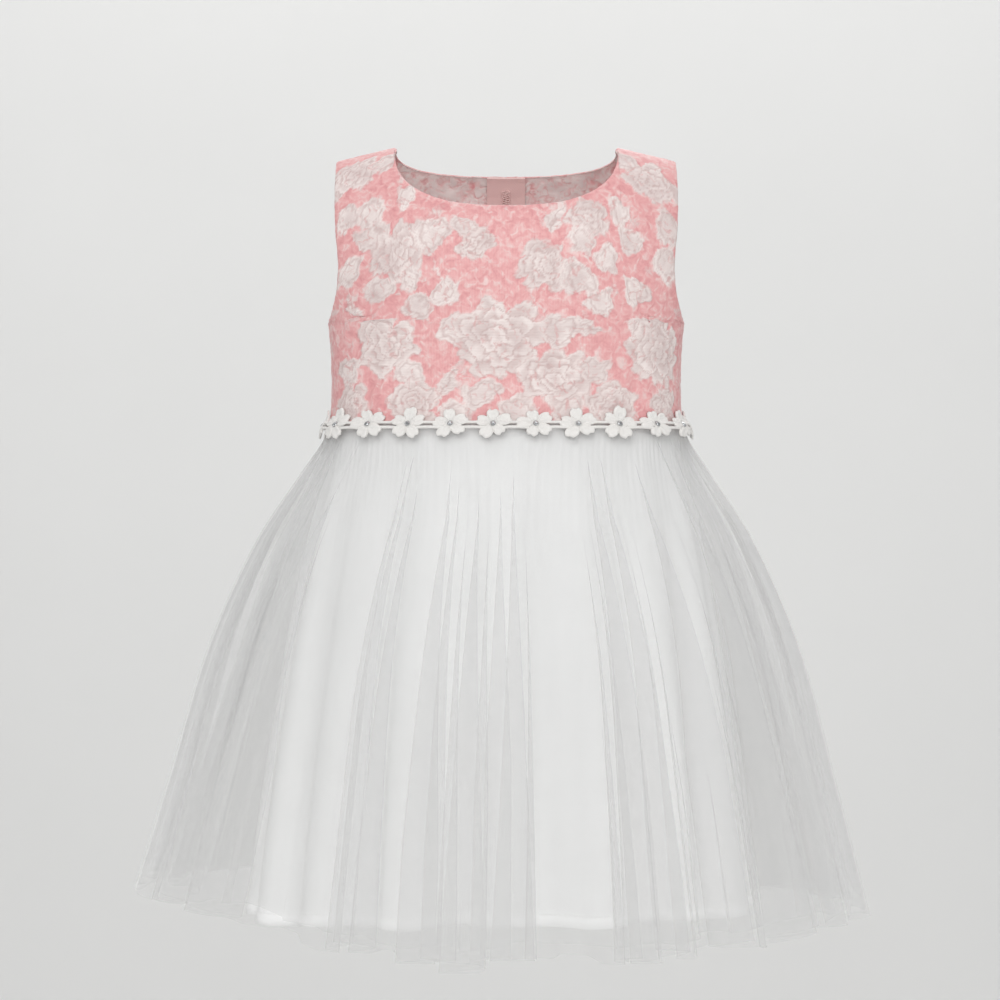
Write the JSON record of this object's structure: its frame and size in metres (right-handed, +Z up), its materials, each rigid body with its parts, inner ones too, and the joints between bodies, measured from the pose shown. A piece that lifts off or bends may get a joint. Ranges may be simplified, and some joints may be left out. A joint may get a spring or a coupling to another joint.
{
  "type": "toddler party dress",
  "caption": "Sleeveless toddler party dress: flower jacquard bodice with a scooped neck and a back zip, lace flower trim at the waist, and a full tulle skirt over a plain underskirt.",
  "frame": {"origin": "midway between the two shoulder seams, at the height of their neck ends, where the wearer's shoulders hold the dress", "axes": "+Z up the wearer, the front faces -Y, and +X is towards the wearer's left"},
  "size_m": [0.4802, 0.3127, 0.5055],
  "materials": {
    "jacquard": "coral pink jacquard with raised pale flowers",
    "satin": "white satin, soft sheen",
    "tulle": "fine white nylon net",
    "lace": "white guipure lace with glass stones",
    "zip_tape": "pink woven polyester tape",
    "zip_metal": "pink enamelled zinc, satin"
  },
  "bodies": {
    "dress": {"bodice_front": "jacquard", "bodice_back_left": "jacquard", "bodice_back_right": "jacquard", "underskirt_front": "satin", "underskirt_back_left": "satin", "underskirt_back_right": "satin", "tulle_inner_front": "tulle", "tulle_inner_back_left": "tulle", "tulle_inner_back_right": "tulle", "tulle_outer_front": "tulle", "tulle_outer_back_left": "tulle", "tulle_outer_back_right": "tulle", "flower_trim": "lace", "zip_tape": "zip_tape", "zip_slider": "zip_metal"},
    "zip_pull": {"zip_pull": "zip_metal"}
  },
  "joints": [
    {"name": "zip_pull_swing", "type": "hinge", "parent": "dress", "child": "zip_pull", "pos_m": [0, 0.04363, -0.02331], "axis": [1, 0, 0], "range_deg": [0, 170]}
  ]
}
